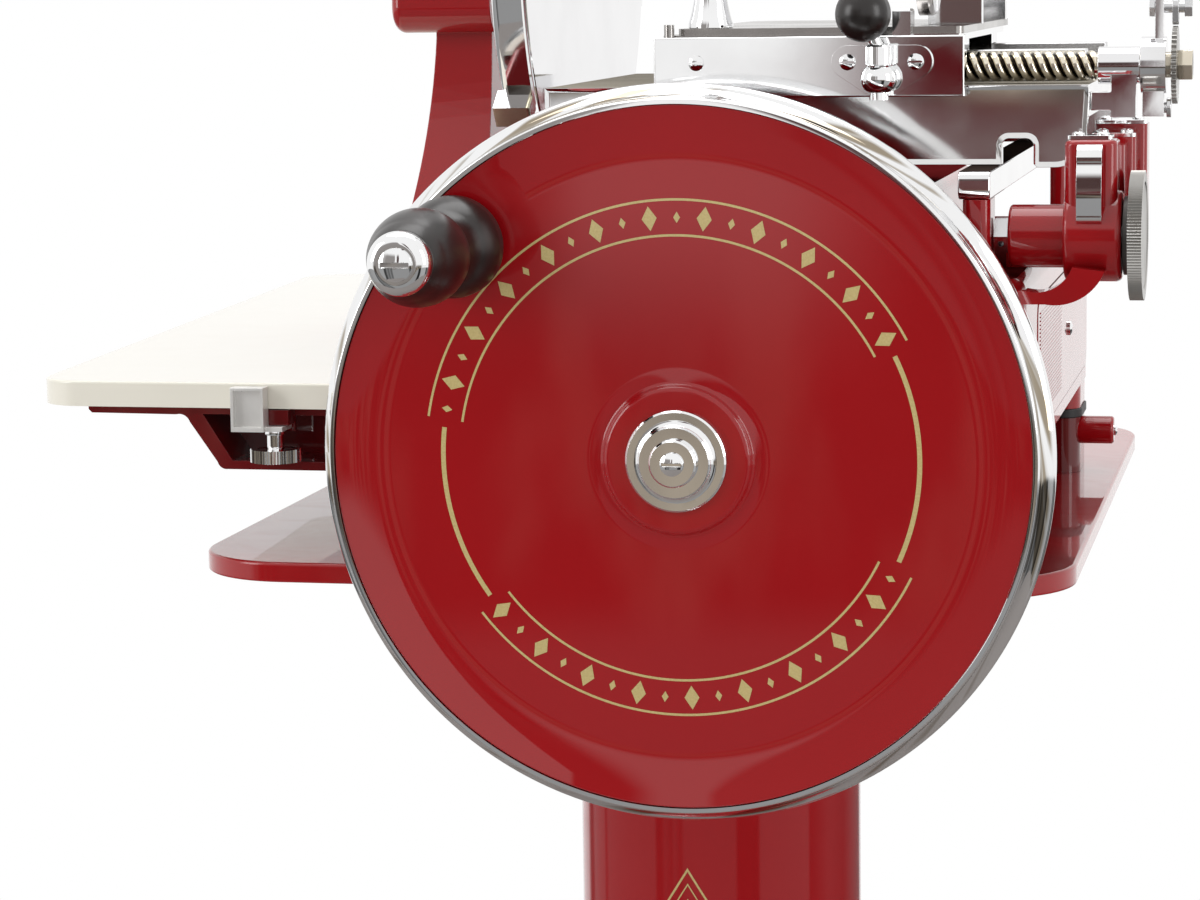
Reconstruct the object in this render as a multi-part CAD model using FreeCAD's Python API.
import FreeCAD, Part
import math
import os

# Hand cranked meat slicer on a round pedestal. Millimetres.
# The origin is on the floor under the pedestal's axis. +Z is up, -Y is towards the person at the crank,
# and the blade stands across the X axis, on the left.

# ---- flywheel and crank handle ----
WHEEL_X = 34.0
WHEEL_Z = 881.0
WHEEL_FRONT_Y = -306.0
WHEEL_R = 200.0
BEZEL_R = 192.5
FACE_R = 189.4
RIM_DEPTH = 34.0
FACE_RECESS = 6.0
WEB_THICKNESS = 7.0
HUB_BOSS_R = 39.6
HANDLE_THROW_X = -119.0
HANDLE_THROW_Z = 114.5
HANDLE_REACH = 119.0

# ---- pedestal and base ----
COLUMN_R = 88.0
COLUMN_WALL = 8.0
FOOT_R = 240.0
FOOT_TOP_Z = 170.0
HEAD_BOTTOM_Z = 745.0
BASE_BOTTOM_Z = 800.6
BASE_THICKNESS = 11.4
BASE_LEFT_X = -263.4
BASE_RIGHT_X = 238.0
BASE_FRONT_Y = -256.0
BASE_BACK_Y = 380.0
BASE_CORNER_R = 58.0
FLOOR_BOLT_PCD = 450.0
FLOOR_BOLT_HOLE_R = 6.0
HEAD_BOLT_PCD = 232.0

# ---- body ----
BODY_LEFT_X = -136.0
BODY_RIGHT_X = 214.0
BODY_FRONT_Y = -262.0
BODY_BACK_Y = 200.0
BODY_BOTTOM_Z = 870.0
SHOULDER_Z = 975.0
SADDLE_LEFT_X = -62.0
SADDLE_RIGHT_X = 140.0
SADDLE_TOP_Z = 1010.0
WALL = 8.0
LEG_SIZE = 58.0
BAND_BOTTOM_Z = 848.0
BAND_TOP_Z = 854.0

# ---- blade and its upright ----
BLADE_FACE_X = -85.0
BLADE_Y = 30.0
BLADE_Z = 1165.0
BLADE_R = 170.0
BARREL_LEFT_X = -196.8
BARREL_RIGHT_X = -133.0
BARREL_R = 61.5
UPRIGHT_RIGHT_X = -137.6
UPRIGHT_TOP_LEFT_X = -173.4
UPRIGHT_FOOT_LEFT_X = -188.0

# ---- rails and carriage ----
RAIL_LEFT_X = 179.0
RAIL_RIGHT_X = 196.0
RAIL_TOP_Z = 1032.0
RAIL_HEIGHT = 15.0
RAIL_FRONT_Y = -261.0
RAIL_BACK_Y = 292.0
ROUND_RAIL_X = -42.0
ROUND_RAIL_Z = 1046.0
ROUND_RAIL_R = 9.0
CARRIAGE_LEFT_X = -58.0
CARRIAGE_RIGHT_X = 243.6
CARRIAGE_FRONT_Y = -206.0
CARRIAGE_LENGTH = 250.0
CARRIAGE_TOP_Z = 1075.5
CARRIAGE_PLATE = 8.0
APRON_BOTTOM_Z = 1032.4
APRON_THICKNESS = 10.0
STROKE = 220.0

# ---- cross feed and meat table ----
SCREW_Y = -186.0
SCREW_Z = 1085.0
SCREW_R = 8.2
TABLE_LEFT_X = 7.0
TABLE_RIGHT_X = 178.0
TABLE_BACK_Y = 38.0
TABLE_BAR_BOTTOM_Z = 1070.0
TABLE_TOP_Z = 1103.0
TABLE_PLATE = 4.6
UNDER_PLATE = 3.3
PLATE_LEFT_X = 19.0
PLATE_RIGHT_X = 176.5
BAR_FRONT_Y = -220.0
BAR_THICKNESS = 11.0
LEVER_X = 133.6
LEVER_Y = -234.0
LEVER_PIVOT_Z = 1080.0
KNOB_R = 15.0

# ---- slice thickness adjuster ----
ADJUSTER_Y = -238.0
ADJUSTER_Z = 996.5
NECK_R = 16.5
POT_R = 24.5
NECK_LEFT_X = 204.5
POT_LEFT_X = 234.0
POT_RIGHT_X = 264.6
DIAL_R = 34.5
DIAL_THICKNESS = 3.6
TOWER_TOP_Z = 1048.0

# ---- slice tray ----
TRAY_TOP_Z = 912.8
TRAY_THICKNESS = 14.6
TRAY_FRONT_Y = -246.0
TRAY_BACK_Y = 430.0
TRAY_LEFT_X = -352.0
TRAY_FLARE = 40.0
TRAY_RIGHT_X = -142.0

# ---- drive ----
SHAFT_R = 13.0
CROSS_SHAFT_R = 10.0
CROSS_Y = BLADE_Y
GEAR_TEETH = 32
GEAR_PITCH_R = 32.0
GEAR_FACE = 12.0
LARGE_SPROCKET_TEETH = 36
SMALL_SPROCKET_TEETH = 12
CHAIN_PITCH = 9.525
SPROCKET_X = -160.0
CRANK_LEFT_X = 70.0
ROCKER_X = 95.0
ROCKER_PIVOT_Z = 833.0
ROCKER_PIN_Z = 1022.0

# ---- fits ----
RUNNING = 0.05
GAP = 0.4

X = FreeCAD.Vector(1, 0, 0)
Y = FreeCAD.Vector(0, 1, 0)
Z = FreeCAD.Vector(0, 0, 1)


def vec(x, y, z):
    return FreeCAD.Vector(x, y, z)


def box(x0, x1, y0, y1, z0, z1):
    return Part.makeBox(x1 - x0, y1 - y0, z1 - z0, vec(x0, y0, z0))


def rod(start, direction, radius, length):
    return Part.makeCylinder(radius, length, start, direction)


def pipe(start, direction, outer, inner, length):
    return rod(start, direction, outer, length).cut(rod(start, direction, inner, length))


def joined(shapes):
    """One solid from pieces that overlap or touch."""
    first = shapes[0]
    return first.multiFuse(shapes[1:]).removeSplitter()


def outline(points):
    """A closed wire of lines and arcs. A point is (a, b); an arc to it is (mid_a, mid_b, a, b)."""
    edges = []
    last = points[0]
    for point in points[1:] + [points[0]]:
        here = vec(last[-2], last[-1], 0)
        end = vec(point[-2], point[-1], 0)
        if here.distanceToPoint(end) < 1e-6:
            continue
        if len(point) == 4 and point is not points[0]:
            edges.append(Part.Arc(here, vec(point[0], point[1], 0), end).toShape())
        else:
            edges.append(Part.LineSegment(here, end).toShape())
        last = point
    return Part.Wire(edges)


def turned(profile, base, direction):
    """A solid of revolution. The profile is (distance along the axis, radius), closed on itself."""
    face = Part.Face(outline(profile))
    solid = face.revolve(vec(0, 0, 0), X, 360)
    turn = FreeCAD.Rotation(X, direction)
    solid.Placement = FreeCAD.Placement(base, turn)
    return solid


def slab_z(points, z0, z1):
    """A plate cut to an outline of (x, y), lying level."""
    face = Part.Face(outline(points))
    face.translate(vec(0, 0, z0))
    return face.extrude(vec(0, 0, z1 - z0))


def slab_y(points, y0, y1):
    """A plate cut to an outline of (x, z), facing along Y."""
    face = Part.Face(outline(points))
    face.rotate(vec(0, 0, 0), X, 90)
    face.translate(vec(0, y0, 0))
    return face.extrude(vec(0, y1 - y0, 0))


def slab_x(points, x0, x1):
    """A plate cut to an outline of (y, z), facing along X."""
    face = Part.Face(outline(points))
    face.Placement = FreeCAD.Placement(vec(x0, 0, 0), FreeCAD.Rotation(Y, Z, X, "XYZ"))
    return face.extrude(vec(x1 - x0, 0, 0))


def rounded(a0, a1, b0, b1, r):
    """The outline of a rectangle with round corners."""
    k = r * (1 - math.sqrt(0.5))
    return [
        (a0 + r, b0),
        (a1 - r, b0),
        (a1 - k, b0 + k, a1, b0 + r),
        (a1, b1 - r),
        (a1 - k, b1 - k, a1 - r, b1),
        (a0 + r, b1),
        (a0 + k, b1 - k, a0, b1 - r),
        (a0, b0 + r),
        (a0 + k, b0 + k, a0 + r, b0),
    ]


def softened(shape, radius, wanted):
    """The shape with a fillet on each edge for which wanted(edge) is true."""
    edges = [edge for edge in shape.Edges if wanted(edge)]
    return shape.makeFillet(radius, edges)


def level_at(z):
    def test(edge):
        return abs(edge.BoundBox.ZMin - z) < 1e-3 and abs(edge.BoundBox.ZMax - z) < 1e-3
    return test


def dome(s, r, height):
    """The last point of a profile: a round cap that rises from (s, r) to the axis."""
    sphere = (r * r + height * height) / (2 * height)
    centre = s + height - sphere
    half = math.atan2(r, s - centre) / 2
    return (centre + sphere * math.cos(half), sphere * math.sin(half), s + height, 0)


def slotted_screw(head_centre, outward, head_r, head_h, shank_r, shank_length):
    """A round-head screw with one slot. head_centre is on the seat, outward points out of the head."""
    profile = [
        (-shank_length, 0),
        (-shank_length, shank_r),
        (0, shank_r),
        (0, head_r),
        (head_h * 0.45, head_r),
        dome(head_h * 0.45, head_r, head_h * 0.55),
    ]
    screw = turned(profile, head_centre, outward)
    slot = box(head_h * 0.62, head_h * 1.5, -head_r * 1.2, head_r * 1.2, -head_r * 0.13, head_r * 0.13)
    slot.Placement = FreeCAD.Placement(head_centre, FreeCAD.Rotation(X, outward))
    return screw.cut(slot)


def hexagon(start, direction, across_flats, length):
    """A hexagonal prism, for nuts and bolt heads."""
    r = across_flats / math.sqrt(3)
    points = [(r * math.cos(math.radians(60 * i)), r * math.sin(math.radians(60 * i))) for i in range(6)]
    prism = slab_x(points, 0, length)
    prism.Placement = FreeCAD.Placement(start, FreeCAD.Rotation(X, direction))
    return prism


def toothed_disc(teeth, tip_r, root_r, start, length):
    """A disc across X with plain pointed teeth: a sprocket, a ratchet or a knurled edge."""
    points = []
    for i in range(teeth):
        for part, r in ((0.0, root_r), (0.28, tip_r), (0.5, tip_r), (0.78, root_r)):
            a = 2 * math.pi * (i + part) / teeth
            points.append((start.y + r * math.cos(a), start.z + r * math.sin(a)))
    return slab_x(points, start.x, start.x + length)


os.makedirs("parts", exist_ok=True)
made = []


def save(name, shapes):
    """Write one node: a single solid, or a group of separate ones."""
    if not isinstance(shapes, list):
        shapes = [shapes]
    shape = shapes[0] if len(shapes) == 1 else Part.makeCompound(shapes)
    shape.exportStep("parts/" + name + ".step")
    made.append((name, len(shape.Solids), shape.isValid(), shape.Volume))


# ================= pedestal =================
# The round cast foot spreads in an ogee from the column to a wide edge, and is hollow underneath.
FOOT_EDGE_Z = 16.0
FOOT_RING = 26.0
foot_profile = [
    (0, FOOT_R - FOOT_RING),
    (0, FOOT_R - 3),
    (3, FOOT_R),
    (FOOT_EDGE_Z, FOOT_R),
    (FOOT_EDGE_Z + 9, FOOT_R - 2.5, FOOT_EDGE_Z + 12, FOOT_R - 12),
    (FOOT_EDGE_Z + 12, FOOT_R - 22),
    (46, 178, 72, 142),
    (98, 112, 138, COLUMN_R + 14),
    (138, COLUMN_R + 18),
    (144, COLUMN_R + 22, 150, COLUMN_R + 18),
    (150, COLUMN_R + 10),
    (FOOT_TOP_Z, COLUMN_R + 8),
    (FOOT_TOP_Z, COLUMN_R + GAP / 2),
    (120, COLUMN_R + GAP / 2),
    (120, COLUMN_R - 10),
    (62, 130),
    (16, FOOT_R - FOOT_RING),
]
foot = turned(foot_profile, vec(0, 0, 0), Z)
for i in range(4):
    turn = math.radians(45 + 90 * i)
    at = vec(FLOOR_BOLT_PCD / 2 * math.cos(turn), FLOOR_BOLT_PCD / 2 * math.sin(turn), -1)
    foot = foot.cut(rod(at, Z, FLOOR_BOLT_HOLE_R, 60))
save("pedestal_foot", foot)

# The column is a plain round tube. Its head flares out to the flange that carries the base plate.
HEAD_FLANGE_R = 140.0
HEAD_FLANGE = 12.0
head_profile = [
    (HEAD_BOTTOM_Z, COLUMN_R - COLUMN_WALL),
    (HEAD_BOTTOM_Z, COLUMN_R + 9),
    (HEAD_BOTTOM_Z + 5, COLUMN_R + 12, HEAD_BOTTOM_Z + 10, COLUMN_R + 9),
    (HEAD_BOTTOM_Z + 30, COLUMN_R + 20, BASE_BOTTOM_Z - HEAD_FLANGE, HEAD_FLANGE_R - 3),
    (BASE_BOTTOM_Z - HEAD_FLANGE, HEAD_FLANGE_R),
    (BASE_BOTTOM_Z - 0.1, HEAD_FLANGE_R),
    (BASE_BOTTOM_Z - 0.1, COLUMN_R - COLUMN_WALL),
]
COLUMN_START_Z = 120.3
tube_length = HEAD_BOTTOM_Z + 10 - COLUMN_START_Z
tube = pipe(vec(0, 0, COLUMN_START_Z), Z, COLUMN_R, COLUMN_R - COLUMN_WALL, tube_length)
column = joined([tube, turned(head_profile, vec(0, 0, 0), Z)])
BASE_TOP_Z = BASE_BOTTOM_Z + BASE_THICKNESS
base_outline = rounded(BASE_LEFT_X, BASE_RIGHT_X, BASE_FRONT_Y, BASE_BACK_Y, BASE_CORNER_R)
base = slab_z(base_outline, BASE_BOTTOM_Z, BASE_TOP_Z)
base = softened(base, 2.0, level_at(BASE_TOP_Z))
base = softened(base, 1.2, level_at(BASE_BOTTOM_Z))
BOLT_SINK = 7.6
bolts = []
for i in range(4):
    turn = math.radians(45 + 90 * i)
    x = HEAD_BOLT_PCD / 2 * math.cos(turn)
    y = HEAD_BOLT_PCD / 2 * math.sin(turn)
    hole = rod(vec(x, y, BASE_BOTTOM_Z - 30), Z, 6.2, 60)
    column = column.cut(hole)
    base = base.cut(hole)
    base = base.cut(rod(vec(x, y, BASE_TOP_Z - BOLT_SINK), Z, 10.2, 20))
    shank = rod(vec(x, y, BASE_BOTTOM_Z - HEAD_FLANGE), Z, 6.0, HEAD_FLANGE + BASE_THICKNESS - BOLT_SINK + 1)
    bolt_head = rod(vec(x, y, BASE_TOP_Z - BOLT_SINK + 0.1), Z, 9.6, BOLT_SINK - 1)
    bolts.append(joined([bolt_head, shank]).cut(hexagon(vec(x, y, BASE_TOP_Z - 5), Z, 8, 10)))
save("pedestal_column", column)
save("base_plate", base)
save("base_bolts", bolts)

# ================= body =================
# Four feet carry the body off the base plate, each with a black rubber band under the body's leg.
# All but the one beside the flywheel's front have a lug on the outer side with a set screw.
feet = []
bands = []
set_screws = []
legs = []
LUG_R = 9.0
LUG_REACH = 21.5
LEG_INSET = 0.5
LEG_WIDTH = LEG_SIZE - 2.5
for side in (-1, 1):
    outer_x = BODY_RIGHT_X - LEG_INSET if side > 0 else BODY_LEFT_X + LEG_INSET
    x0 = outer_x - LEG_WIDTH if side > 0 else outer_x
    x1 = x0 + LEG_WIDTH
    for y0 in (BODY_FRONT_Y + 8, BODY_BACK_Y - 66):
        y1 = y0 + LEG_SIZE - 2
        foot_block = slab_z(rounded(x0, x1, y0, y1, 12), BASE_TOP_Z + 0.1, BAND_BOTTOM_Z)
        bands.append(slab_z(rounded(x0 - 1.2, x1 + 1.2, y0 - 1.2, y1 + 1.2, 13),
                            BAND_BOTTOM_Z + 0.1, BAND_TOP_Z - 0.1))
        legs.append(slab_z(rounded(x0, x1, y0, y1, 12), BAND_TOP_Z, BODY_BOTTOM_Z + 14))
        if side > 0 and y0 < 0:
            feet.append(foot_block)
            continue
        lug_end = outer_x + side * LUG_REACH
        lug_y = y0 + 15
        lug_start = vec(outer_x - side * 12, lug_y, BAND_BOTTOM_Z - LUG_R)
        lug = rod(lug_start, vec(side, 0, 0), LUG_R, LUG_REACH + 12)
        lug = softened(lug, 2.0, lambda edge, end=lug_end: abs(edge.BoundBox.XMin - end) < 1e-3
                       and abs(edge.BoundBox.XMax - end) < 1e-3)
        screw_hole = rod(vec(lug_end + side, lug_y, BAND_BOTTOM_Z - LUG_R), vec(-side, 0, 0), 2.1, 12)
        feet.append(joined([foot_block, lug]).cut(screw_hole))
        set_screws.append(slotted_screw(vec(lug_end + side * 0.05, lug_y, BAND_BOTTOM_Z - LUG_R),
                                        vec(side, 0, 0), 3.6, 2.2, 2.0, 9))
save("body_feet", feet)
save("foot_bands", bands)

# The body is one hollow casting, open underneath: a wide lower part and a narrower saddle for the rails.
lower = slab_z(rounded(BODY_LEFT_X, BODY_RIGHT_X, BODY_FRONT_Y, BODY_BACK_Y, 20), BODY_BOTTOM_Z, SHOULDER_Z)
lower = softened(lower, 9.0, level_at(SHOULDER_Z))
SADDLE_FRONT_Y = BODY_FRONT_Y + 10
SADDLE_BACK_Y = BODY_BACK_Y - 4
saddle = slab_z(rounded(SADDLE_LEFT_X, SADDLE_RIGHT_X, SADDLE_FRONT_Y, SADDLE_BACK_Y, 16),
                SHOULDER_Z - 20, SADDLE_TOP_Z)
saddle = softened(saddle, 8.0, level_at(SADDLE_TOP_Z))
SHAFT_BOSS_R = 30.0
body = joined([lower, saddle] + legs)
inner = slab_z(rounded(BODY_LEFT_X + WALL, BODY_RIGHT_X - WALL, BODY_FRONT_Y + WALL, BODY_BACK_Y - WALL, 12),
               BODY_BOTTOM_Z - 40, SHOULDER_Z - WALL)
inner_saddle = slab_z(rounded(SADDLE_LEFT_X + WALL, SADDLE_RIGHT_X - WALL, SADDLE_FRONT_Y + WALL,
                              SADDLE_BACK_Y - WALL, 8), SHOULDER_Z - 40, SADDLE_TOP_Z - WALL)
for leg in legs:
    inner = inner.cut(leg)
body = body.cut(inner.fuse(inner_saddle))
shaft_boss = rod(vec(WHEEL_X, BODY_FRONT_Y - 5, WHEEL_Z), Y, SHAFT_BOSS_R, 35)
BUSH_WALL = 4.0
BUSH_R = SHAFT_R + BUSH_WALL
cross_boss = rod(vec(BODY_LEFT_X, CROSS_Y, WHEEL_Z), X, 24, 22)
BEARING_WEB_X = 51.0
BEARING_WEB = 13.0
BEARING_WEB_HALF = 17.0
bearing_web = box(BEARING_WEB_X, BEARING_WEB_X + BEARING_WEB, CROSS_Y - BEARING_WEB_HALF,
                  CROSS_Y + BEARING_WEB_HALF, WHEEL_Z - BEARING_WEB_HALF, SADDLE_TOP_Z - 4)
body = joined([body, shaft_boss, cross_boss, bearing_web])
body = body.cut(rod(vec(WHEEL_X, BODY_FRONT_Y - 40, WHEEL_Z), Y, BUSH_R + 0.02, 90))
CROSS_BUSH_R = CROSS_SHAFT_R + 3.5
body = body.cut(rod(vec(BODY_LEFT_X - 20, CROSS_Y, WHEEL_Z), X, CROSS_BUSH_R + 0.02, 250))
ROCKER_SLOT_HALF = 128.0
body = body.cut(box(ROCKER_X - 9, ROCKER_X + 9, CROSS_Y - ROCKER_SLOT_HALF, CROSS_Y + ROCKER_SLOT_HALF,
                    SADDLE_TOP_Z - 30, SADDLE_TOP_Z + 5))
PANEL_FRONT_Y = -178.0
PANEL_BACK_Y = 182.0
PANEL_BOTTOM_Z = 878.0
PANEL_TOP_Z = 956.0
window = slab_x(rounded(PANEL_FRONT_Y + 12, PANEL_BACK_Y - 12, PANEL_BOTTOM_Z + 12, PANEL_TOP_Z - 12, 8),
                BODY_RIGHT_X - 20, BODY_RIGHT_X + 5)
recess = slab_x(rounded(PANEL_FRONT_Y, PANEL_BACK_Y, PANEL_BOTTOM_Z, PANEL_TOP_Z, 12),
                BODY_RIGHT_X - 2.6, BODY_RIGHT_X + 5)
body = body.cut(window).cut(recess)

# The side panel sits in a shallow recess and has a field of fine level ribs on its front half.
panel = slab_x(rounded(PANEL_FRONT_Y + 0.8, PANEL_BACK_Y - 0.8, PANEL_BOTTOM_Z + 0.8, PANEL_TOP_Z - 0.8, 11),
               BODY_RIGHT_X - 2.5, BODY_RIGHT_X + 0.4)
RIBS = 28
RIB_PITCH = 2.2
RIB_WIDTH = 1.0
RIB_RISE = 0.5
RIBS_BACK_Y = -20.0
ribs = []
for i in range(RIBS):
    z = PANEL_BOTTOM_Z + 9 + RIB_PITCH * i
    ribs.append(box(BODY_RIGHT_X - 1, BODY_RIGHT_X + 0.4 + RIB_RISE, PANEL_FRONT_Y + 13, RIBS_BACK_Y,
                    z, z + RIB_WIDTH))
panel = joined([panel] + ribs)
panel_screws = []
for y, z in ((33.0, 918.0), (PANEL_FRONT_Y + 6.5, 918.0)):
    seat = vec(BODY_RIGHT_X + 0.45, y, z)
    panel = panel.cut(rod(vec(BODY_RIGHT_X - 5, y, z), X, 2.2, 12))
    body = body.cut(rod(vec(BODY_RIGHT_X - 9, y, z), X, 2.2, 12))
    panel_screws.append(slotted_screw(seat, X, 4.6, 2.6, 2.0, 7))
save("side_panel", panel)

# ================= rails =================
# The right rail is a square bar with a rounded nose, on posts; the left one is a round bar on two blocks.
rail = box(RAIL_LEFT_X, RAIL_RIGHT_X, RAIL_FRONT_Y, RAIL_BACK_Y,
           RAIL_TOP_Z - RAIL_HEIGHT, RAIL_TOP_Z)
rail = softened(rail, 5.0, lambda edge: abs(edge.BoundBox.YMax - RAIL_FRONT_Y) < 1e-3
                and abs(edge.BoundBox.ZMin - edge.BoundBox.ZMax) < 1e-3)
save("square_rail", rail)
ROUND_RAIL_FRONT_Y = RAIL_FRONT_Y + 21
ROUND_RAIL_BACK_Y = RAIL_BACK_Y - 4
save("round_rail", rod(vec(ROUND_RAIL_X, ROUND_RAIL_FRONT_Y, ROUND_RAIL_Z), Y, ROUND_RAIL_R,
                       ROUND_RAIL_BACK_Y - ROUND_RAIL_FRONT_Y))
RAIL_FOOT_Z = RAIL_TOP_Z - RAIL_HEIGHT - 0.1
posts = []
for y, left_x, right_x in ((RAIL_FRONT_Y + 2, RAIL_LEFT_X + 2, RAIL_RIGHT_X - 0.2),
                           (BODY_BACK_Y - 46, RAIL_RIGHT_X - 4, RAIL_RIGHT_X + 8)):
    posts.append(slab_z(rounded(left_x, right_x, y, y + 32, 5), SHOULDER_Z + 0.1, RAIL_FOOT_Z))
BLOCK_HALF = 13.0
BLOCK_DEPTH = 18.0


def rail_block(y, bottom_z):
    """The block that holds one end of the round rail."""
    block = box(ROUND_RAIL_X - BLOCK_HALF, ROUND_RAIL_X + BLOCK_HALF, y, y + BLOCK_DEPTH,
                bottom_z, ROUND_RAIL_Z)
    cap = rod(vec(ROUND_RAIL_X, y, ROUND_RAIL_Z), Y, BLOCK_HALF, BLOCK_DEPTH)
    return joined([block, cap]).cut(rod(vec(ROUND_RAIL_X, y - 5, ROUND_RAIL_Z), Y, ROUND_RAIL_R + 0.02, 28))


posts.append(rail_block(RAIL_FRONT_Y + 22, SADDLE_TOP_Z + 0.1))
# Behind the body a cross bar on two arms carries the round rail's end. The square rail runs out freely.
REAR_BAR_Y = 269.0
REAR_BAR_RIGHT_X = 100.0
REAR_BAR_BOTTOM_Z = 986.0
rear = [
    box(ROUND_RAIL_X - BLOCK_HALF, REAR_BAR_RIGHT_X, REAR_BAR_Y, REAR_BAR_Y + BLOCK_DEPTH,
        REAR_BAR_BOTTOM_Z, RAIL_FOOT_Z),
    rail_block(REAR_BAR_Y, REAR_BAR_BOTTOM_Z),
]
for x in (-20.0, 70.0):
    rear.append(slab_x([
        (BODY_BACK_Y + 0.1, 905),
        (BODY_BACK_Y + 12, 905),
        (REAR_BAR_Y + BLOCK_DEPTH, REAR_BAR_BOTTOM_Z + 4),
        (REAR_BAR_Y + BLOCK_DEPTH, RAIL_FOOT_Z - 4),
        (BODY_BACK_Y + 0.1, RAIL_FOOT_Z - 52),
    ], x, x + 16))
    rear.append(box(x - 14, x + 30, BODY_BACK_Y + 0.1, BODY_BACK_Y + 10, 902, 962))
posts.append(joined(rear))
save("rail_posts", posts)
save("main_body", body)

# ================= upright, barrel and blade =================
# A tapering red upright bolted to the body's left side carries the blade's bearing barrel.
# It is hollow, because the chain to the blade runs up inside it.
UPRIGHT_FOOT_Z = 816.0
UPRIGHT_HALF_TOP = 42.0
UPRIGHT_HALF_FOOT = 84.0
side_outline = [
    (BLADE_Y - UPRIGHT_HALF_FOOT, UPRIGHT_FOOT_Z),
    (BLADE_Y + UPRIGHT_HALF_FOOT, UPRIGHT_FOOT_Z),
    (BLADE_Y + UPRIGHT_HALF_FOOT, 960),
    (BLADE_Y + UPRIGHT_HALF_TOP + 10, 1030, BLADE_Y + UPRIGHT_HALF_TOP, BLADE_Z),
    (BLADE_Y - UPRIGHT_HALF_TOP, BLADE_Z),
    (BLADE_Y - UPRIGHT_HALF_TOP - 10, 1030, BLADE_Y - UPRIGHT_HALF_FOOT, 960),
]
front_outline = [
    (UPRIGHT_FOOT_LEFT_X, UPRIGHT_FOOT_Z),
    (UPRIGHT_RIGHT_X, UPRIGHT_FOOT_Z),
    (UPRIGHT_RIGHT_X, BLADE_Z),
    (UPRIGHT_TOP_LEFT_X, BLADE_Z),
    (UPRIGHT_TOP_LEFT_X, 1100),
    (UPRIGHT_TOP_LEFT_X - 4, 1050, UPRIGHT_FOOT_LEFT_X, 980),
]
upright = slab_x(side_outline, UPRIGHT_FOOT_LEFT_X - 5, UPRIGHT_RIGHT_X).common(
    slab_y(front_outline, BLADE_Y - 200, BLADE_Y + 200))
PAD_HALF = 70.0
PAD_TOP_Z = SHOULDER_Z - 13
upright_pad = box(UPRIGHT_RIGHT_X - 1, BODY_LEFT_X - 0.1, BLADE_Y - PAD_HALF, BLADE_Y + PAD_HALF,
                  UPRIGHT_FOOT_Z + 60, PAD_TOP_Z)
# The barrel is round above and squared off below, with rounded lower corners.
barrel_bottom = BLADE_Z - BARREL_R
barrel = joined([
    rod(vec(BARREL_LEFT_X, BLADE_Y, BLADE_Z), X, BARREL_R, BARREL_RIGHT_X - BARREL_LEFT_X),
    box(BARREL_LEFT_X, BARREL_RIGHT_X, BLADE_Y - BARREL_R, BLADE_Y + BARREL_R, barrel_bottom, BLADE_Z),
])
barrel = softened(barrel, 16.0, lambda edge: abs(edge.BoundBox.ZMax - barrel_bottom) < 1e-3
                  and edge.BoundBox.XLength > 1)
barrel = softened(barrel, 7.0, lambda edge: abs(edge.BoundBox.XMax - BARREL_LEFT_X) < 1e-3)
CHAIN_SPACE_HALF = 62.0
hollow = slab_x([
    (BLADE_Y - CHAIN_SPACE_HALF, UPRIGHT_FOOT_Z - 10),
    (BLADE_Y + CHAIN_SPACE_HALF, UPRIGHT_FOOT_Z - 10),
    (BLADE_Y + CHAIN_SPACE_HALF, WHEEL_Z + 40),
    (BLADE_Y + 36, BLADE_Z - 60),
    (BLADE_Y + 34, BLADE_Z),
    (BLADE_Y, BLADE_Z + 34, BLADE_Y - 34, BLADE_Z),
    (BLADE_Y - 36, BLADE_Z - 60),
    (BLADE_Y - CHAIN_SPACE_HALF, WHEEL_Z + 40),
], SPROCKET_X - 9, SPROCKET_X + 11)
upright = joined([upright, barrel, upright_pad]).cut(hollow)
upright = upright.cut(rod(vec(SPROCKET_X, BLADE_Y, WHEEL_Z), X, 26, 40))
BLADE_SHAFT_R = 11.0
BLADE_BUSH_R = 15.0
upright = upright.cut(rod(vec(BARREL_LEFT_X + 8, BLADE_Y, BLADE_Z), X, BLADE_BUSH_R + 0.02, 80))
bushes = []
bushes.append(pipe(vec(BARREL_LEFT_X + 9, BLADE_Y, BLADE_Z), X, BLADE_BUSH_R, BLADE_SHAFT_R + RUNNING, 18))
bushes.append(pipe(vec(SPROCKET_X + 11.5, BLADE_Y, BLADE_Z), X, BLADE_BUSH_R, BLADE_SHAFT_R + RUNNING, 9.5))
bushes.append(pipe(vec(BODY_LEFT_X - 1, CROSS_Y, WHEEL_Z), X, CROSS_BUSH_R, CROSS_SHAFT_R + RUNNING, 22))
bushes.append(pipe(vec(BEARING_WEB_X, CROSS_Y, WHEEL_Z), X, CROSS_BUSH_R, CROSS_SHAFT_R + RUNNING,
                   BEARING_WEB))
bushes.append(pipe(vec(WHEEL_X, BODY_FRONT_Y - 4.5, WHEEL_Z), Y, BUSH_R, SHAFT_R + RUNNING, 34))
save("shaft_bushes", bushes)
save("blade_upright", upright)

# The barrel's end cap closes the shaft on the left.
save("barrel_cap", turned([(0, 0), (0, 26), (4, 26), dome(4, 26, 5)],
                          vec(BARREL_LEFT_X - 0.1, BLADE_Y, BLADE_Z), vec(-1, 0, 0)))

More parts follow.
